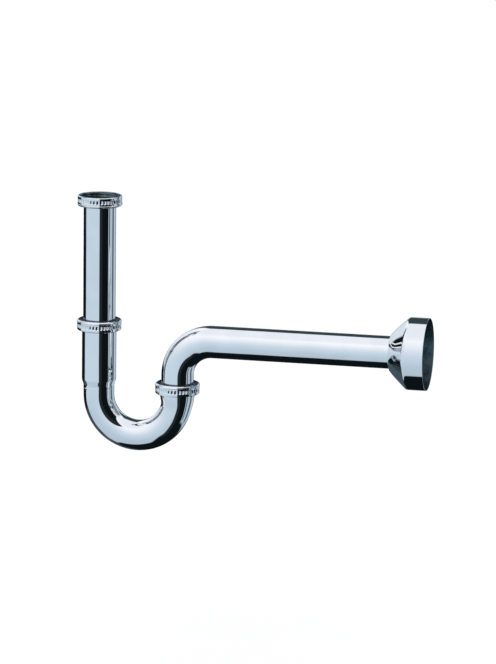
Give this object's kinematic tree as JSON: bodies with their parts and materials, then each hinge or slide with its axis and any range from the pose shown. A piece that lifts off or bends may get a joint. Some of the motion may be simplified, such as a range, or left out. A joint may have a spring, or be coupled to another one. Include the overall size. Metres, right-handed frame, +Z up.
{
  "type": "p trap",
  "caption": "Chromed tubular P trap for a washbasin: union nut and inlet tube, U-bend with slip joints, elbow and horizontal outlet tube, and a bell-shaped wall rosette.",
  "frame": {"origin": "on the inlet axis, in the mouth of the inlet nut, where the basin waste's thread enters", "axes": "+Z up along the inlet axis, out of the inlet nut; +X along the outlet tube, towards the wall"},
  "size_m": [0.3519, 0.071, 0.2547],
  "materials": {
    "tube_chrome": "mirror-polished chrome plate",
    "nut_chrome": "polished chrome plate on turned brass",
    "rosette_chrome": "mirror-polished chrome plate, satin inside",
    "collar_brass": "machined brass",
    "black_rubber": "matt moulded rubber",
    "slip_plastic": "matt polyethylene"
  },
  "bodies": {
    "inlet_nut": {"inlet_nut": "nut_chrome"},
    "inlet_friction_ring": {"inlet_friction_ring": "slip_plastic"},
    "inlet_tailpiece": {"inlet_tailpiece": "tube_chrome", "inlet_gasket": "black_rubber"},
    "inlet_seal": {"inlet_seal": "black_rubber"},
    "u_bend": {"u_bend": "tube_chrome", "u_bend_inlet_collar": "collar_brass", "u_bend_outlet_collar": "collar_brass"},
    "inlet_slip_ring": {"inlet_slip_ring": "slip_plastic"},
    "inlet_slip_nut": {"inlet_slip_nut": "nut_chrome"},
    "outlet_seal": {"outlet_seal": "black_rubber"},
    "outlet_pipe": {"outlet_pipe": "tube_chrome"},
    "outlet_slip_ring": {"outlet_slip_ring": "slip_plastic"},
    "outlet_slip_nut": {"outlet_slip_nut": "nut_chrome"},
    "rosette_grip_ring": {"rosette_grip_ring": "black_rubber"},
    "wall_rosette": {"wall_rosette": "rosette_chrome"}
  },
  "joints": [
    {"name": "inlet_nut_turn", "type": "hinge", "parent": "inlet_nut", "child": "inlet_friction_ring", "pos_m": [0, 0, -0.009], "axis": [0, 0, 1], "continuous": true},
    {"name": "inlet_nut_drop", "type": "slide", "parent": "inlet_friction_ring", "child": "inlet_tailpiece", "axis": [0, 0, 1], "range_m": [0, 0.085]},
    {"name": "height_adjust", "type": "slide", "parent": "inlet_tailpiece", "child": "inlet_seal", "axis": [0, 0, 1], "range_m": [-0.022, 0.018]},
    {"name": "trap_swivel", "type": "hinge", "parent": "inlet_seal", "child": "u_bend", "pos_m": [0, 0, -0.1285], "axis": [0, 0, 1], "continuous": true},
    {"name": "inlet_slip_nut_lift", "type": "slide", "parent": "u_bend", "child": "inlet_slip_ring", "axis": [0, 0, 1], "range_m": [0, 0.00526]},
    {"name": "inlet_slip_nut_turn", "type": "hinge", "parent": "inlet_slip_ring", "child": "inlet_slip_nut", "pos_m": [0, 0, -0.1255], "axis": [0, 0, 1], "range_deg": [0, 1260]},
    {"name": "outlet_swivel", "type": "hinge", "parent": "u_bend", "child": "outlet_seal", "pos_m": [0.08, 0, -0.1882], "axis": [0, 0, 1], "range_deg": [-145, 145]},
    {"name": "outlet_insert", "type": "slide", "parent": "outlet_seal", "child": "outlet_pipe", "axis": [0, 0, 1], "range_m": [0, 0.004]},
    {"name": "outlet_slip_nut_lift", "type": "slide", "parent": "u_bend", "child": "outlet_slip_ring", "axis": [0, 0, 1], "range_m": [0, 0.00526]},
    {"name": "outlet_slip_nut_turn", "type": "hinge", "parent": "outlet_slip_ring", "child": "outlet_slip_nut", "pos_m": [0.08, 0, -0.1852], "axis": [0, 0, 1], "range_deg": [0, 1260]},
    {"name": "rosette_slide", "type": "slide", "parent": "outlet_pipe", "child": "rosette_grip_ring", "axis": [1, 0, 0], "range_m": [-0.12, 0]},
    {"name": "rosette_turn", "type": "hinge", "parent": "rosette_grip_ring", "child": "wall_rosette", "pos_m": [0.2956, 0, -0.1409], "axis": [1, 0, 0], "continuous": true}
  ],
  "couplings": [
    {"joint": "inlet_slip_nut_lift", "follows": "inlet_slip_nut_turn", "m_per_rad": 0.00023873},
    {"joint": "outlet_slip_nut_lift", "follows": "outlet_slip_nut_turn", "m_per_rad": 0.00023873}
  ]
}
